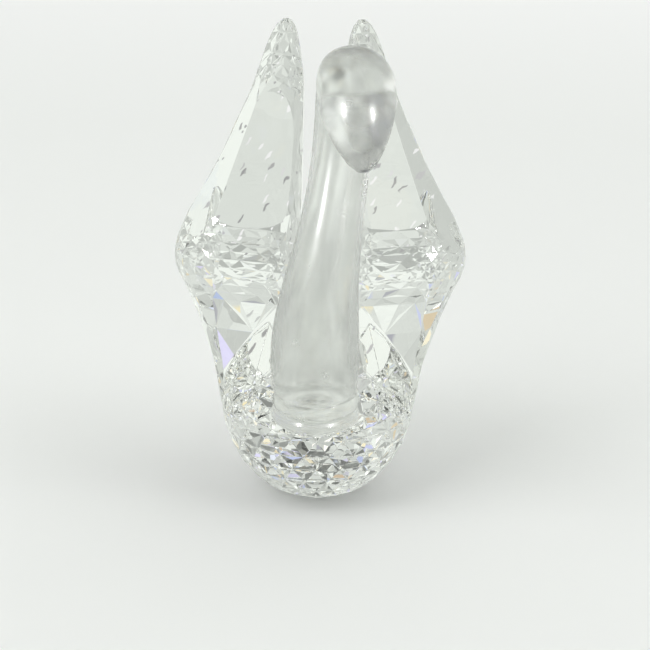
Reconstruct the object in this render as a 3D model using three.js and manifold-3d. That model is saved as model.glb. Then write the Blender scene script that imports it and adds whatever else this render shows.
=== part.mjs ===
// A cut-crystal swan: a faceted body, two faceted wings and a faceted tail, with one smooth lampworked
// neck and head. Each piece is ground flat where it meets the body and held there by a film of clear
// adhesive. Millimetres, +Z up, the swan faces -Y, and left and right are as seen from its front. The
// origin is on the flat facet under the body.
import * as THREE from "three";
import { ConvexGeometry } from "three/addons/geometries/ConvexGeometry.js";
import { mergeVertices } from "three/addons/utils/BufferGeometryUtils.js";
import Module from "manifold-3d";

// ---- Driving dimensions ----

// The body: rings of corners up its height. spread is the share of the widest ring, and turn is in steps
// of a side.
const BODY = { halfWidth: 13.4, height: 20, front: 16.6, back: 20.5, midY: 0.5 };
const BODY_RINGS = [
  { level: 0, spread: 0.4, sides: 12, turn: 0 },
  { level: 0.06, spread: 0.56, sides: 24, turn: 0.5 },
  { level: 0.14, spread: 0.69, sides: 24, turn: 0 },
  { level: 0.24, spread: 0.81, sides: 24, turn: 0.5 },
  { level: 0.35, spread: 0.895, sides: 24, turn: 0 },
  { level: 0.46, spread: 0.95, sides: 24, turn: 0.5 },
  { level: 0.58, spread: 0.985, sides: 24, turn: 0 },
  { level: 0.7, spread: 1, sides: 24, turn: 0.5 },
  { level: 0.82, spread: 0.97, sides: 24, turn: 0 },
  { level: 1, spread: 0.8, sides: 12, turn: 0.5 },
];

// A wing, given for the swan's +X side: its long axis from root to tip, and its reach from that axis. Its
// inner side is flat, at innerSide from the centre plane, and the rings reach rim past it. boxy below 1
// makes the front and back of each ring flatter than an ellipse.
const WING = {
  root: [9.8, -1, 10],
  tip: [5.2, 21, 61],
  outward: 12,
  inward: 11,
  forward: 10.5,
  backward: 11.5,
  boxy: 0.62,
  innerSide: 2.7,
  rim: 0.45,
};
// Each ring's share of the reach across (spread) and of the reach from front to back (depth).
const WING_RINGS = [
  { along: 0, spread: 0.26, depth: 0.6, sides: 10, turn: 0 },
  { along: 0.12, spread: 0.42, depth: 0.75, sides: 10, turn: 0.5 },
  { along: 0.24, spread: 0.67, depth: 0.9, sides: 12, turn: 0 },
  { along: 0.315, spread: 0.87, depth: 0.905, sides: 36, turn: 0.5 },
  { along: 0.335, spread: 0.935, depth: 0.935, sides: 36, turn: 0 },
  { along: 0.355, spread: 0.975, depth: 0.95, sides: 36, turn: 0.5 },
  { along: 0.375, spread: 0.995, depth: 0.95, sides: 36, turn: 0 },
  { along: 0.395, spread: 1, depth: 0.938, sides: 36, turn: 0.5 },
  { along: 0.415, spread: 0.99, depth: 0.915, sides: 36, turn: 0 },
  { along: 0.435, spread: 0.965, depth: 0.885, sides: 36, turn: 0.5 },
  { along: 0.48, spread: 0.9, depth: 0.9, sides: 24, turn: 0 },
  { along: 0.53, spread: 0.795, depth: 0.84, sides: 24, turn: 0.5 },
  { along: 0.58, spread: 0.695, depth: 0.77, sides: 24, turn: 0 },
  { along: 0.63, spread: 0.605, depth: 0.7, sides: 24, turn: 0.5 },
  { along: 0.68, spread: 0.525, depth: 0.625, sides: 24, turn: 0 },
  { along: 0.73, spread: 0.45, depth: 0.54, sides: 20, turn: 0.5 },
  { along: 0.78, spread: 0.375, depth: 0.44, sides: 22, turn: 0 },
  { along: 0.81, spread: 0.335, depth: 0.38, sides: 22, turn: 0.5 },
  { along: 0.84, spread: 0.3, depth: 0.325, sides: 22, turn: 0 },
  { along: 0.87, spread: 0.27, depth: 0.28, sides: 22, turn: 0.5 },
  { along: 0.9, spread: 0.24, depth: 0.24, sides: 20, turn: 0 },
  { along: 0.93, spread: 0.205, depth: 0.2, sides: 20, turn: 0.5 },
  { along: 0.96, spread: 0.165, depth: 0.155, sides: 16, turn: 0 },
  { along: 0.985, spread: 0.11, depth: 0.1, sides: 16, turn: 0.5 },
  { along: 1, spread: 0.05, depth: 0.05, sides: 8, turn: 0 },
];
// The large facets ground on it afterwards, each given by its normal and how deep the wheel goes: the long
// table above the belly, the table below it, the bevel between the long table and the outer side, and the
// long table at the back.
const WING_TABLES = [
  { normal: [0.02, -0.79, 0.61], deep: 0.8 },
  { normal: [0.06, -0.98, 0.17], deep: 0.9 },
  { normal: [0.62, -0.48, 0.6], deep: 0.95 },
  { normal: [0.02, 0.99, -0.13], deep: 1 },
];

// The tail stone, on the body's centre line.
const TAIL = { root: [0, 14, 9.5], tip: [0, 33, 20], across: 7, upward: 4.2 };
const TAIL_RINGS = [
  { along: 0, spread: 0.62, sides: 10, turn: 0 },
  { along: 0.2, spread: 0.93, sides: 14, turn: 0.5 },
  { along: 0.3, spread: 1, sides: 14, turn: 0 },
  { along: 0.4, spread: 0.95, sides: 14, turn: 0.5 },
  { along: 0.74, spread: 0.46, sides: 10, turn: 0 },
  { along: 1, spread: 0.07, sides: 10, turn: 0.5 },
];

// The neck and head follow one curve from the foot to the beak's tip: a place, and half the width across and
// front to back there.
const NECK_PATH = [
  { at: [-0.3, -10.1, 12.4], across: 5.9, deep: 5.4 },
  { at: [-0.3, -10.4, 13.6], across: 5.9, deep: 5.4 },
  { at: [-0.3, -10.5, 14.3], across: 5.8, deep: 5.3 },
  { at: [-0.3, -10.6, 14.9], across: 5.45, deep: 4.95 },
  { at: [-0.3, -10.7, 15.5], across: 5.7, deep: 5.15 },
  { at: [-0.3, -10.9, 16.1], across: 5.65, deep: 5.1 },
  { at: [-0.4, -11, 16.7], across: 5.4, deep: 4.85 },
  { at: [-0.4, -11.1, 17.4], across: 5.6, deep: 5 },
  { at: [-0.4, -11.5, 19.5], across: 5.8, deep: 5 },
  { at: [-0.4, -12.3, 24.5], across: 5.8, deep: 4.6 },
  { at: [0.1, -12.7, 31], across: 5.1, deep: 4.1 },
  { at: [1.1, -11.8, 37.5], across: 4.3, deep: 3.6 },
  { at: [2.2, -9.6, 45], across: 3.9, deep: 3.3 },
  { at: [2.9, -8.2, 51.5], across: 4, deep: 3.3 },
  { at: [3.3, -8.8, 56], across: 4.2, deep: 3.5 },
  { at: [3.7, -11.6, 59.3], across: 4.3, deep: 3.7 },
  { at: [4.1, -15.4, 58.9], across: 5, deep: 4 },
  { at: [4.5, -18.8, 55.8], across: 4.7, deep: 3.5 },
  { at: [4.9, -21, 52.4], across: 3.3, deep: 2.3 },
  { at: [5.1, -22.2, 50], across: 1.7, deep: 1.1 },
  { at: [5.1, -22.5, 49.2], across: 0.6, deep: 0.4 },
];
const NECK_SIDES = 24;
const NECK_STEPS = 80;

// Where each piece is bonded to the body: a point on the ground seat, and the seat's normal out of the body.
const FILM = 0.2;
const FILM_CLEARANCE = 0.04;
const NECK_SEAT = { point: [0, -10.5, 13.9], normal: [0, -0.259, 0.966] };
const WING_SEAT = { point: [9.6, 1, 15.6], normal: [0.68, -0.1, 0.72] };
const TAIL_SEAT = { point: [0, 17, 11], normal: [0, 0.87, 0.49] };

const CRYSTAL = { color: 0xdfe6e0, roughness: 0.02, metalness: 0 };
const NECK_GLASS = { color: 0xdce3de, roughness: 0.04, metalness: 0 };
const ADHESIVE = { color: 0xeef0ea, roughness: 0.1, metalness: 0 };

// ---- Solids: three.js makes the shapes, manifold-3d cuts them ----

const wasm = await Module();
wasm.setup();

function toSolid(geometry) {
  const bare = geometry.clone();
  bare.deleteAttribute("normal");
  bare.deleteAttribute("uv");
  const merged = mergeVertices(bare, 1e-4);
  return new wasm.Manifold(
    new wasm.Mesh({
      numProp: 3,
      vertProperties: new Float32Array(merged.attributes.position.array),
      triVerts: new Uint32Array(merged.index.array),
    }),
  );
}

function toMesh(solid, name, finish) {
  const mesh = solid.getMesh();
  const geometry = new THREE.BufferGeometry();
  geometry.setAttribute("position", new THREE.BufferAttribute(mesh.vertProperties, mesh.numProp));
  geometry.setIndex(new THREE.BufferAttribute(mesh.triVerts, 1));
  geometry.computeVertexNormals();
  const made = new THREE.Mesh(geometry, new THREE.MeshStandardMaterial({ ...finish, flatShading: true }));
  made.name = name;
  return made;
}

// The part of a solid on the side that a seat's normal points to, from a distance along the normal.
function above(solid, seat, distance) {
  const normal = new THREE.Vector3(...seat.normal).normalize();
  const offset = normal.dot(new THREE.Vector3(...seat.point)) + distance;
  return solid.trimByPlane(normal.toArray(), offset);
}

function below(solid, seat, distance) {
  const normal = new THREE.Vector3(...seat.normal).normalize();
  const offset = normal.dot(new THREE.Vector3(...seat.point)) + distance;
  return solid.trimByPlane(normal.negate().toArray(), -offset);
}

const mirrored = (seat) => ({
  point: [-seat.point[0], seat.point[1], seat.point[2]],
  normal: [-seat.normal[0], seat.normal[1], seat.normal[2]],
});
const ACROSS = [1, 0, 0];

// ---- Cut stones: the convex hull of rings of corners, so that every face is a flat facet ----

function ring({ sides, turn }, corner) {
  return Array.from({ length: sides }, (_, i) => {
    const angle = ((i + turn) / sides) * 2 * Math.PI;
    return corner(Math.cos(angle), Math.sin(angle));
  });
}

function bodyStone() {
  const corners = BODY_RINGS.flatMap((at) =>
    ring(at, (c, s) => {
      const reach = s > 0 ? BODY.back : BODY.front;
      return new THREE.Vector3(
        BODY.halfWidth * at.spread * c,
        BODY.midY + reach * at.spread * s,
        BODY.height * at.level,
      );
    }),
  );
  return toSolid(new ConvexGeometry(corners));
}

// One closed skin over rings of corners: the hull's skin from each ring to the next, and the first and
// last ring filled in.
function skin(rings) {
  const key = (x, y, z) => [x, y, z].map(Math.fround).join();
  const ends = [0, rings.length - 1];
  const positions = rings.slice(1).flatMap((next, i) => {
    const ringOf = new Map(rings[i].map((corner) => [key(...corner), i]));
    next.forEach((corner) => ringOf.set(key(...corner), i + 1));
    const hull = new ConvexGeometry([...rings[i], ...next]).attributes.position;
    return Array.from({ length: hull.count / 3 }, (_, face) => {
      const corner = (n) => new THREE.Vector3().fromBufferAttribute(hull, 3 * face + n).toArray();
      const places = [corner(0), corner(1), corner(2)];
      const owners = new Set(places.map((place) => ringOf.get(key(...place))));
      const [owner] = owners;
      return owners.size > 1 || ends.includes(owner) ? places.flat() : [];
    }).flat();
  });
  return new THREE.BufferGeometry().setAttribute("position", new THREE.Float32BufferAttribute(positions, 3));
}

// Rings round an axis from root to tip. reach gives how far a corner of a ring goes along side and along
// its normal.
function drop(root, tip, side, rings, reach) {
  const from = new THREE.Vector3(...root);
  const axis = new THREE.Vector3(...tip).sub(from);
  const across = side.clone().projectOnPlane(axis.clone().normalize()).normalize();
  const upright = new THREE.Vector3().crossVectors(axis, across).normalize();
  const corners = rings.map((at) =>
    ring(at, (c, s) => {
      const [a, b] = reach(at, c, s);
      const middle = from.clone().addScaledVector(axis, at.along);
      return middle.addScaledVector(across, a).addScaledVector(upright, b);
    }),
  );
  return toSolid(skin(corners));
}

// Grinds one flat facet: the wheel starts where it first touches the stone and goes in by deep.
function grind(stone, { normal, deep }) {
  const towards = new THREE.Vector3(...normal).normalize();
  const { vertProperties, numProp } = stone.getMesh();
  let touch = -Infinity;
  for (let i = 0; i < vertProperties.length; i += numProp) {
    touch = Math.max(touch, towards.dot(new THREE.Vector3().fromArray(vertProperties, i)));
  }
  return stone.trimByPlane(towards.negate().toArray(), deep - touch);
}

function wingStone() {
  const boxed = (share) => Math.sign(share) * Math.abs(share) ** WING.boxy;
  const reach = (at, c, s) => {
    const middle = THREE.MathUtils.lerp(WING.root[0], WING.tip[0], at.along);
    const inward = Math.min(WING.inward * at.spread, middle - WING.innerSide + WING.rim);
    const width = c > 0 ? WING.outward * at.spread : inward;
    const depth = at.depth * (s > 0 ? WING.backward : WING.forward);
    return [boxed(c) * width, boxed(s) * depth];
  };
  const rough = drop(WING.root, WING.tip, new THREE.Vector3(1, 0, 0), WING_RINGS, reach);
  return WING_TABLES.reduce(grind, rough.trimByPlane(ACROSS, WING.innerSide));
}

function tailStone() {
  const reach = (at, c, s) => [c * at.spread * TAIL.across, s * at.spread * TAIL.upward];
  return drop(TAIL.root, TAIL.tip, new THREE.Vector3(1, 0, 0), TAIL_RINGS, reach);
}

// ---- The lampworked neck: a closed tube whose rings follow the path ----

function neckGlass() {
  const curve = new THREE.CatmullRomCurve3(NECK_PATH.map(({ at }) => new THREE.Vector3(...at)));
  const girth = new THREE.CatmullRomCurve3(
    NECK_PATH.map(({ across, deep }) => new THREE.Vector3(across, deep, 0)),
    false,
    "catmullrom",
    0.5,
  );
  const geometry = new THREE.CylinderGeometry(1, 1, 1, NECK_SIDES, NECK_STEPS);
  const position = geometry.attributes.position;
  for (let i = 0; i < position.count; i++) {
    const t = position.getY(i) + 0.5;
    const along = curve.getTangent(t);
    const across = new THREE.Vector3(1, 0, 0).projectOnPlane(along).normalize();
    const deep = new THREE.Vector3().crossVectors(across, along);
    const size = girth.getPoint(t);
    const place = curve
      .getPoint(t)
      .addScaledVector(across, position.getX(i) * size.x)
      .addScaledVector(deep, position.getZ(i) * size.y);
    position.setXYZ(i, place.x, place.y, place.z);
  }
  return toSolid(geometry);
}

// ---- Assembly: every piece is ground to its seat, with the film of adhesive between ----

const swan = new THREE.Group();
let body = bodyStone();
const wing = wingStone();
const otherWing = wing.mirror(ACROSS);
const joints = [
  { name: "neck_and_head", bond: "neck_bond", piece: neckGlass(), seat: NECK_SEAT, finish: NECK_GLASS },
  { name: "wing_right", bond: "wing_right_bond", piece: wing, seat: WING_SEAT, finish: CRYSTAL },
  { name: "wing_left", bond: "wing_left_bond", piece: otherWing, seat: mirrored(WING_SEAT), finish: CRYSTAL },
  { name: "tail", bond: "tail_bond", piece: tailStone(), seat: TAIL_SEAT, finish: CRYSTAL },
];
const grip = FILM / 2 + FILM_CLEARANCE;
for (const { name, bond, piece, seat, finish } of joints) {
  const film = above(below(piece.intersect(body), seat, FILM / 2), seat, -FILM / 2);
  swan.add(toMesh(above(piece, seat, grip), name, finish));
  swan.add(toMesh(film, bond, ADHESIVE));
}
for (const { seat } of joints) body = below(body, seat, -grip);
swan.add(toMesh(body, "body", CRYSTAL));

export default swan;
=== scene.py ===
import math
import random

import bmesh
import bpy
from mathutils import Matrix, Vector


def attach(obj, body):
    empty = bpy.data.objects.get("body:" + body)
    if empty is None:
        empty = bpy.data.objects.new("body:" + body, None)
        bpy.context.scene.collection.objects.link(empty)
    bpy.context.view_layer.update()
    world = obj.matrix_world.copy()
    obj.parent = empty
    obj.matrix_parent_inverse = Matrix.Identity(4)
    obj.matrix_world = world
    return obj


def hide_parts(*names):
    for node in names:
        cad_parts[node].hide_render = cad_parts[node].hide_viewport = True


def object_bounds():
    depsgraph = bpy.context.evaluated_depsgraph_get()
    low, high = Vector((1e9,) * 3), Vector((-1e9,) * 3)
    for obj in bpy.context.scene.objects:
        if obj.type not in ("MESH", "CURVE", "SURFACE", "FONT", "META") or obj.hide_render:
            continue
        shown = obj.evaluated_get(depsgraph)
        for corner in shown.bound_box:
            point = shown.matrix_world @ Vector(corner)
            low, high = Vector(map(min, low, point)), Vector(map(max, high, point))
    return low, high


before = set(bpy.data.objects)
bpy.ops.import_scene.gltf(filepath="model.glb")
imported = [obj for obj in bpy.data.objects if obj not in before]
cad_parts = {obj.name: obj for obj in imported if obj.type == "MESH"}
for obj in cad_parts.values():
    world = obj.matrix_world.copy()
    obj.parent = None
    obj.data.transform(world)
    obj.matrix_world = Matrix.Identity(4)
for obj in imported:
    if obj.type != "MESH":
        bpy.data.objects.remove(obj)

MM = 0.001
MM2 = MM * MM
WELD = MM / 1000
BODY = "root"
CAD_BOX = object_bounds()
HEIGHT = CAD_BOX[1][2] - CAD_BOX[0][2]

STONES = ("body", "wing_left", "wing_right", "tail")
BONDS = ("neck_bond", "wing_left_bond", "wing_right_bond", "tail_bond")
NECK = "neck_and_head"

rng = random.Random(7)

# ---- The camera, looking slightly down at the swan's breast ----

ELEVATION = math.radians(17)
ROLL = math.radians(1)
AIM = Vector((0.013, 0.063, 0.34)) * HEIGHT
CAMERA_DISTANCE = 4.74 * HEIGHT
VIEW_WIDTH = 1.414 * HEIGHT


def camera():
    made = bpy.data.objects.new("camera", bpy.data.cameras.new("camera"))
    bpy.context.scene.collection.objects.link(made)
    towards = Vector((0, -math.cos(ELEVATION), math.sin(ELEVATION)))
    made.location = AIM + towards * CAMERA_DISTANCE
    made.rotation_euler = (-towards).to_track_quat("-Z", "Y").to_euler()
    made.rotation_euler.rotate_axis("Z", ROLL)
    made.data.lens = made.data.sensor_width * CAMERA_DISTANCE / VIEW_WIDTH
    made.data.clip_start = 0.1 * HEIGHT
    bpy.context.scene.camera = made


# ---- Node helpers ----


def feed(tree, socket, value):
    """Links another node's output to a socket, or sets the socket to a plain value."""
    if isinstance(value, bpy.types.NodeSocket):
        tree.links.new(value, socket)
    else:
        socket.default_value = value


def node(tree, kind, label="", **inputs):
    made = tree.nodes.new(kind)
    made.label = label
    for name, value in inputs.items():
        feed(tree, made.inputs[name.replace("_", " ")], value)
    return made


def ramp(tree, factor, stops):
    """A colour ramp over (position, grey or colour) stops."""
    made = tree.nodes.new("ShaderNodeValToRGB")
    tree.links.new(factor, made.inputs[0])
    elements = made.color_ramp.elements
    while len(elements) < len(stops):
        elements.new(0.5)
    for element, (position, value) in zip(elements, stops):
        element.position = position
        element.color = (*value, 1) if isinstance(value, tuple) else (value, value, value, 1)
    return made.outputs[0]


def mix(tree, label, factor, first, second, blend="MIX"):
    made = tree.nodes.new("ShaderNodeMix")
    made.label = label
    made.data_type = "RGBA"
    made.blend_type = blend
    for socket, value in zip((made.inputs[0], made.inputs[6], made.inputs[7]), (factor, first, second)):
        feed(tree, socket, value)
    return made.outputs[2]


# ---- Materials ----

# How strongly light bends at each surface. At a wetted face it is from adhesive into glass.
LEAD_CRYSTAL = 1.58
PLAIN_GLASS = 1.5
MATCHED = 1.01

TINT_PATCH = 11 * MM
TINT_DRIFT = 0.015
SMUDGE = 4 * MM
RIPPLE_HEIGHT = 0.1 * MM


def polished_glass(name, ior, tint, roughness, ripple, coat=0):
    """Clear glass with faint marks.

    roughness is (where clean, where smudged), and ripple is its waves' (length, strength).
    """
    material = bpy.data.materials.new(name)
    material.use_nodes = True
    tree = material.node_tree
    shader = tree.nodes["Principled BSDF"]
    shader.inputs["Transmission Weight"].default_value = 1
    shader.inputs["IOR"].default_value = ior
    shader.inputs["Coat Weight"].default_value = coat
    here = node(tree, "ShaderNodeTexCoord").outputs["Object"]

    # The tint drifts a little through the piece.
    drift = node(tree, "ShaderNodeTexNoise", "tint drift", Vector=here, Scale=1 / TINT_PATCH, Detail=2.0)
    lighter = tuple(min(1, channel + TINT_DRIFT) for channel in tint)
    colour = ramp(tree, drift.outputs[0], [(0.35, tint), (0.65, lighter)])
    feed(tree, shader.inputs["Base Color"], colour)

    # Handling leaves patches that are a little less clear.
    clean, smudged = roughness
    patches = node(
        tree, "ShaderNodeTexNoise", "smudges", Vector=here, Scale=1 / SMUDGE, Detail=4.0, Roughness=0.6
    )
    feed(tree, shader.inputs["Roughness"], ramp(tree, patches.outputs[0], [(0.5, clean), (0.75, smudged)]))

    # Polishing leaves a surface that isn't quite flat.
    length, strength = ripple
    waves = node(tree, "ShaderNodeTexNoise", "polish", Vector=here, Scale=1 / length, Detail=1.0)
    bump = node(tree, "ShaderNodeBump", Height=waves.outputs[0], Strength=strength, Distance=RIPPLE_HEIGHT)
    feed(tree, shader.inputs["Normal"], bump.outputs[0])
    return material


def crystal():
    tint = (0.965, 0.97, 0.96)
    return polished_glass("crystal", LEAD_CRYSTAL, tint, roughness=(0, 0.012), ripple=(2 * MM, 0.03))


def drawn_glass():
    """The lampworked glass, with its fire-polished skin as a coat over a softer inside."""
    tint = (0.965, 0.972, 0.96)
    roughness = (0.23, 0.29)
    ripple = (6 * MM, 0.04)
    return polished_glass("drawn_glass", PLAIN_GLASS, tint, roughness, ripple, coat=0.25)


def wetted():
    """A ground face with adhesive on it. It nearly disappears, as adhesive bends light as glass does."""
    tint = (0.985, 0.987, 0.98)
    return polished_glass("wetted_ground_face", MATCHED, tint, roughness=(0, 0.01), ripple=(1.1 * MM, 0.01))


def adhesive():
    tint = (0.97, 0.97, 0.95)
    return polished_glass("adhesive", PLAIN_GLASS, tint, roughness=(0.01, 0.05), ripple=(1.1 * MM, 0.08))


# ---- Where the pieces are bonded ----

# The CAD leaves a little air between a film and the pieces it joins, and it is less than this.
CLOSE_TO_FILM = 0.06 * MM
PARALLEL = math.cos(math.radians(1))


def seats():
    """The two flat sides of every film of adhesive, each as a point on it and its normal."""
    found = []
    for name in BONDS:
        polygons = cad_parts[name].data.polygons
        flat = max(polygons, key=lambda polygon: polygon.area).normal
        for polygon in polygons:
            if abs(polygon.normal.dot(flat)) > PARALLEL:
                found.append((polygon.center.copy(), flat.copy()))
    return found


SEATS = seats()


def bonded(face):
    """Whether a face lies against a film of adhesive, or is one of the film's own flat sides."""
    centre = face.calc_center_median()
    return any(
        abs(face.normal.dot(normal)) > PARALLEL and abs((centre - at).dot(normal)) < CLOSE_TO_FILM
        for at, normal in SEATS
    )


def opened(name):
    """A CAD node's mesh, opened for editing."""
    bm = bmesh.new()
    bm.from_mesh(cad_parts[name].data)
    bmesh.ops.remove_doubles(bm, verts=bm.verts, dist=WELD)
    return bm


def put(name, bm, stands_for, material, bond_material):
    """Puts an edited mesh in the scene for a CAD node, with its bonded faces in their own material."""
    for face in bm.faces:
        face.material_index = 1 if bonded(face) else 0
    mesh = bpy.data.meshes.new(name)
    bm.to_mesh(mesh)
    bm.free()
    mesh.materials.append(material)
    mesh.materials.append(bond_material)
    made = bpy.data.objects.new(name, mesh)
    bpy.context.scene.collection.objects.link(made)
    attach(made, BODY)
    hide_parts(stands_for)
    return made


# ---- Stones ----

EDGE = 0.05 * MM
SAME_PLANE = math.radians(0.4)
SMALL_FACETS = (0.2 * MM2, 4.8 * MM2)
RECUT_DEPTH = (0.02 * MM, 0.1 * MM)
RECUT_SHARE = 0.7


def break_edges(bm):
    """Takes the sharpness off every edge, as polishing does."""
    bmesh.ops.bevel(
        bm,
        geom=bm.edges[:],
        offset=EDGE,
        offset_type="OFFSET",
        segments=1,
        profile=0.5,
        affect="EDGES",
        clamp_overlap=True,
    )


def recut(bm):
    """Cuts most small facets into three or more, by lowering a point near the middle into the stone."""
    least, most = SMALL_FACETS
    small = [face for face in bm.faces if least < face.calc_area() < most and not bonded(face)]
    chosen = [face for face in small if rng.random() < RECUT_SHARE]
    made = bmesh.ops.poke(bm, faces=chosen)
    for corner in made["verts"]:
        corner.normal_update()
        corner.co -= corner.normal * rng.uniform(*RECUT_DEPTH)


def stone(name, material, bond_material):
    """The CAD node's solid with its triangles joined into facets, edges broken and small facets recut."""
    bm = opened(name)
    bmesh.ops.dissolve_limit(bm, angle_limit=SAME_PLANE, verts=bm.verts, edges=bm.edges)
    break_edges(bm)
    recut(bm)
    for face in bm.faces:
        face.smooth = False
    return put(name + "_cut", bm, name, material, bond_material)


# ---- The lampworked neck ----

GROUND_EDGE = math.radians(50)
SAME_QUAD = math.radians(40)
QUAD_SHAPE = math.radians(60)


def neck(material, bond_material):
    """The CAD node's tube, with its triangles joined into rings of quads and smoothed between them."""
    bm = opened(NECK)
    bmesh.ops.join_triangles(
        bm,
        faces=bm.faces[:],
        angle_face_threshold=SAME_QUAD,
        angle_shape_threshold=QUAD_SHAPE,
    )
    # The edges of the ground seat stay sharp.
    crease = bm.edges.layers.float.new("crease_edge")
    for edge in bm.edges:
        if edge.calc_face_angle(0) > GROUND_EDGE:
            edge[crease] = 1
    for face in bm.faces:
        face.smooth = not bonded(face)
    made = put(NECK + "_glass", bm, NECK, material, bond_material)
    made.data.set_sharp_from_angle(angle=GROUND_EDGE)
    smooth = made.modifiers.new("smooth", "SUBSURF")
    smooth.levels = 2
    smooth.render_levels = 2
    return made


def bond(name, material, bond_material):
    """A film of adhesive, as the CAD has it."""
    return put(name + "_film", opened(name), name, material, bond_material)


# ---- The studio ----

WALL = (0.65, 0.68, 0.64)
SEEN = (0.97, 0.975, 0.97)
FLOOR = (0.86, 0.865, 0.86)
TENT_TURN = math.radians(60)

# The floor has faded into the room at FLOOR_FADE from the swan. The fade starts where the nearness, which is
# 1 at the swan and 0 at FLOOR_FADE, is FLOOR_CLEAR.
FLOOR_SIZE = 95 * HEIGHT
FLOOR_FADE = 13 * HEIGHT
FLOOR_CLEAR = 0.7

# How finely the tent is divided: the number of cells in one unit of direction.
PANELS = 2.6
FOLDS = 7.0
GLINTS = 14.0
CREASES = 200.0

# How far a glint and a crease reach from the middle of their cell, in cells, as (full, faded out).
GLINT_REACH = (0.28, 0.31)
CREASE_REACH = (0.09, 0.12)
CREASE_SLANT = (math.radians(90), math.radians(40), 0)
CREASE_STRETCH = (1, 4, 1)

# Where the tent is quiet, still and without glints, over levels from 0 straight down to 1 straight up.
QUIET_LEVELS = [(0.08, 0), (0.16, 1), (0.56, 1), (0.66, 0)]
STILL_LEVELS = [(0.44, 0), (0.48, 1), (0.53, 1), (0.57, 0)]
PLAIN_LEVELS = [(0.08, 0), (0.14, 1), (0.4, 1), (0.46, 0)]

# Tones of the tent as (place in a random range, share of the wall's brightness). It is still at eye level
# and quiet below it, where a table looks straight through, and busy overhead and underneath.
QUIET = [(0, 0.7), (0.1, 0.82), (0.22, 0.95), (0.6, 1.03), (0.8, 1.2), (1, 1.45)]
BUSY = [(0, 0.1), (0.16, 0.4), (0.3, 0.9), (0.62, 1.03), (0.78, 1.3), (1, 1.5)]
STILL = [(0, 0.9), (1, 1.15)]
CREASE_TONES = [(0.45, 0.38), (0.75, 0.95)]

# Colours of the glints over their random range: warm, yellow, white, blue, lilac and dark.
FIRE = [
    (0, (0.58, 0.44, 0.32)),
    (0.22, (1.0, 0.9, 0.58)),
    (0.42, (1.3, 1.3, 1.3)),
    (0.58, (0.44, 0.54, 0.8)),
    (0.78, (0.82, 0.78, 1.05)),
    (1, (0.26, 0.28, 0.25)),
]


def random_cells(tree, label, direction, fineness, dimensions="3D"):
    """Random cells over the directions: the distance to the cell's middle, and the cell's random value."""
    cells = node(tree, "ShaderNodeTexVoronoi", label, Vector=direction, Scale=fineness, Randomness=1.0)
    cells.voronoi_dimensions = dimensions
    values = node(tree, "ShaderNodeSeparateColor", Color=cells.outputs["Color"])
    return cells.outputs["Distance"], values.outputs[0]


def spot(tree, distance, reach):
    full, faded = reach
    return ramp(tree, distance, [(full, 1), (faded, 0)])


def folded_walls(tree, direction, level):
    """Greenish-grey cloth walls with panels, folds and dark gaps."""
    quiet = ramp(tree, level, QUIET_LEVELS)
    still = ramp(tree, level, STILL_LEVELS)
    _, fold = random_cells(tree, "folds", direction, FOLDS)
    _, panel = random_cells(tree, "panels", direction, PANELS)
    folds = mix(tree, "quiet folds", quiet, ramp(tree, fold, BUSY), ramp(tree, fold, QUIET))
    folds = mix(tree, "still folds", still, folds, ramp(tree, fold, STILL))
    panels = mix(tree, "panels", quiet, ramp(tree, panel, BUSY), (1, 1, 1, 1))
    cloth = mix(tree, "cloth", 1.0, folds, panels, "MULTIPLY")
    return mix(tree, "walls", 1.0, cloth, (*WALL, 1), "MULTIPLY")


def with_glints(tree, direction, walls):
    """The walls with small coloured glints, which stand in for the stones' dispersion."""
    distance, hue = random_cells(tree, "glints", direction, GLINTS)
    return mix(tree, "glints", spot(tree, distance, GLINT_REACH), walls, ramp(tree, hue, FIRE))


def with_creases(tree, looking, walls):
    """The walls with short slanting creases, dark and light."""
    slanted = node(
        tree, "ShaderNodeMapping", "slant", Vector=looking, Rotation=CREASE_SLANT, Scale=CREASE_STRETCH
    )
    slanted.vector_type = "TEXTURE"
    distance, tone = random_cells(tree, "creases", slanted.outputs[0], CREASES, "2D")
    return mix(tree, "creases", spot(tree, distance, CREASE_REACH), walls, ramp(tree, tone, CREASE_TONES))


def studio():
    """A pale room to the camera. What the glass bends and mirrors is the light tent round it."""
    world = bpy.data.worlds.new("studio")
    bpy.context.scene.world = world
    world.use_nodes = True
    tree = world.node_tree
    looking = node(tree, "ShaderNodeTexCoord").outputs["Generated"]
    turned = node(tree, "ShaderNodeMapping", "turn", Vector=looking, Rotation=(0, 0, TENT_TURN))
    direction = turned.outputs[0]
    height = node(tree, "ShaderNodeSeparateXYZ", Vector=direction).outputs["Z"]
    level = node(tree, "ShaderNodeMapRange", "level", From_Min=-1.0, From_Max=1.0, Value=height).outputs[0]

    walls = folded_walls(tree, direction, level)
    bright = with_glints(tree, direction, walls)
    creased = with_creases(tree, looking, walls)
    tent = mix(tree, "tent", ramp(tree, level, PLAIN_LEVELS), bright, creased)

    seen = node(tree, "ShaderNodeLightPath").outputs["Is Camera Ray"]
    shown = mix(tree, "what the camera sees", seen, tent, (*SEEN, 1))
    tree.links.new(shown, tree.nodes["Background"].inputs["Color"])


def soft_box(name, at, size, watts, mirrored=False):
    """An area light, with its place and size in swan heights.

    A plain one lights the floor and throws the shadow. A mirrored one is only a highlight on the glass,
    which takes the rest of its light from the tent.
    """
    light = bpy.data.lights.new(name, "AREA")
    light.shape = "RECTANGLE"
    light.size = size[0] * HEIGHT
    light.size_y = size[1] * HEIGHT
    light.energy = watts
    made = bpy.data.objects.new(name, light)
    bpy.context.scene.collection.objects.link(made)
    made.location = Vector(at) * HEIGHT
    made.rotation_euler = (AIM - made.location).to_track_quat("-Z", "Y").to_euler()
    made.visible_transmission = False
    made.visible_diffuse = not mirrored
    made.visible_glossy = mirrored


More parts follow.
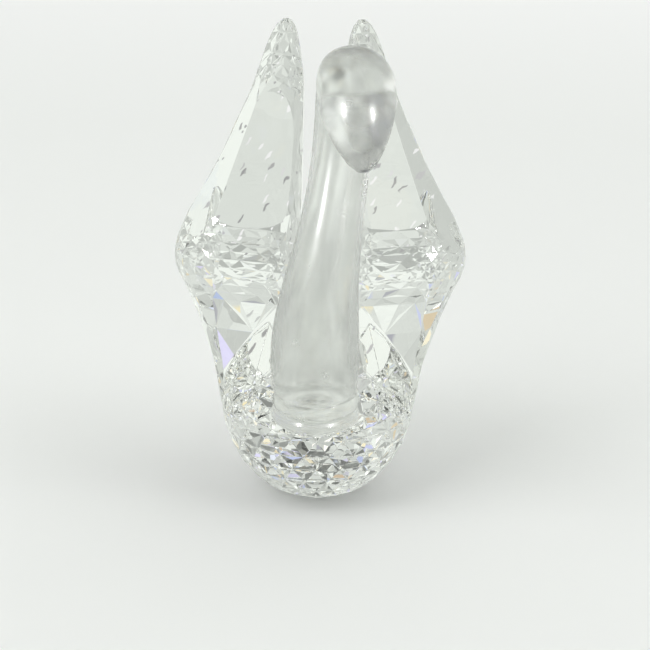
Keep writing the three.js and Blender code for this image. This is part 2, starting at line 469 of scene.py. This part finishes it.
def lights():
    """Three big boxes round the swan, and a small strip at each side of the camera."""
    soft_box("key", (-8, -5.5, 11), (9.5, 9.5), 2.8)
    soft_box("fill", (9.5, -3, 8), (8, 11), 1.4)
    soft_box("back", (1.5, 12.5, 8), (14, 8), 1.7)
    for side, name in ((-1, "left_strip"), (1, "right_strip")):
        soft_box(name, (4.1 * side, -5.2, 4.3), (0.95, 1.9), 1.3, mirrored=True)


def floor_paint():
    """Pale matt paint that fades with distance into the room's own brightness, so that no horizon shows."""
    material = bpy.data.materials.new("floor")
    material.use_nodes = True
    tree = material.node_tree
    paint = tree.nodes["Principled BSDF"]
    paint.inputs["Roughness"].default_value = 0.7
    paint.inputs["Base Color"].default_value = (*FLOOR, 1)
    here = node(tree, "ShaderNodeTexCoord").outputs["Object"]
    share = node(tree, "ShaderNodeMapping", "fade", Vector=here, Scale=[1 / FLOOR_FADE] * 3)
    nearness = node(tree, "ShaderNodeTexGradient", "nearness", Vector=share.outputs[0])
    nearness.gradient_type = "SPHERICAL"
    glow = node(tree, "ShaderNodeEmission", "room", Color=(*SEEN, 1))
    blend = tree.nodes.new("ShaderNodeMixShader")
    distant = ramp(tree, nearness.outputs[1], [(0, 1), (FLOOR_CLEAR, 0)])
    for socket, value in zip(blend.inputs, (distant, paint.outputs[0], glow.outputs[0])):
        feed(tree, socket, value)
    feed(tree, tree.nodes["Material Output"].inputs["Surface"], blend.outputs[0])
    return material


def floor():
    """A pale floor for the camera. The glass sees the light tent right round it instead."""
    bpy.ops.mesh.primitive_plane_add(size=FLOOR_SIZE)
    made = bpy.context.object
    made.name = "floor"
    made.visible_transmission = False
    made.visible_glossy = False
    made.data.materials.append(floor_paint())


# Light crosses many faces of a cut stone before it leaves.
BOUNCES = 40
MIRROR_BOUNCES = 24


def rendering():
    scene = bpy.context.scene
    scene.view_settings.view_transform = "Standard"
    scene.cycles.max_bounces = BOUNCES
    scene.cycles.transmission_bounces = BOUNCES
    scene.cycles.glossy_bounces = MIRROR_BOUNCES
    scene.cycles.use_denoising = True


# ---- Build ----

camera()
studio()
lights()
floor()
rendering()

stone_glass = crystal()
neck_glass = drawn_glass()
film_glass = adhesive()
wet_face = wetted()
for name in STONES:
    stone(name, stone_glass, wet_face)
neck(neck_glass, wet_face)
for name in BONDS:
    bond(name, film_glass, wet_face)
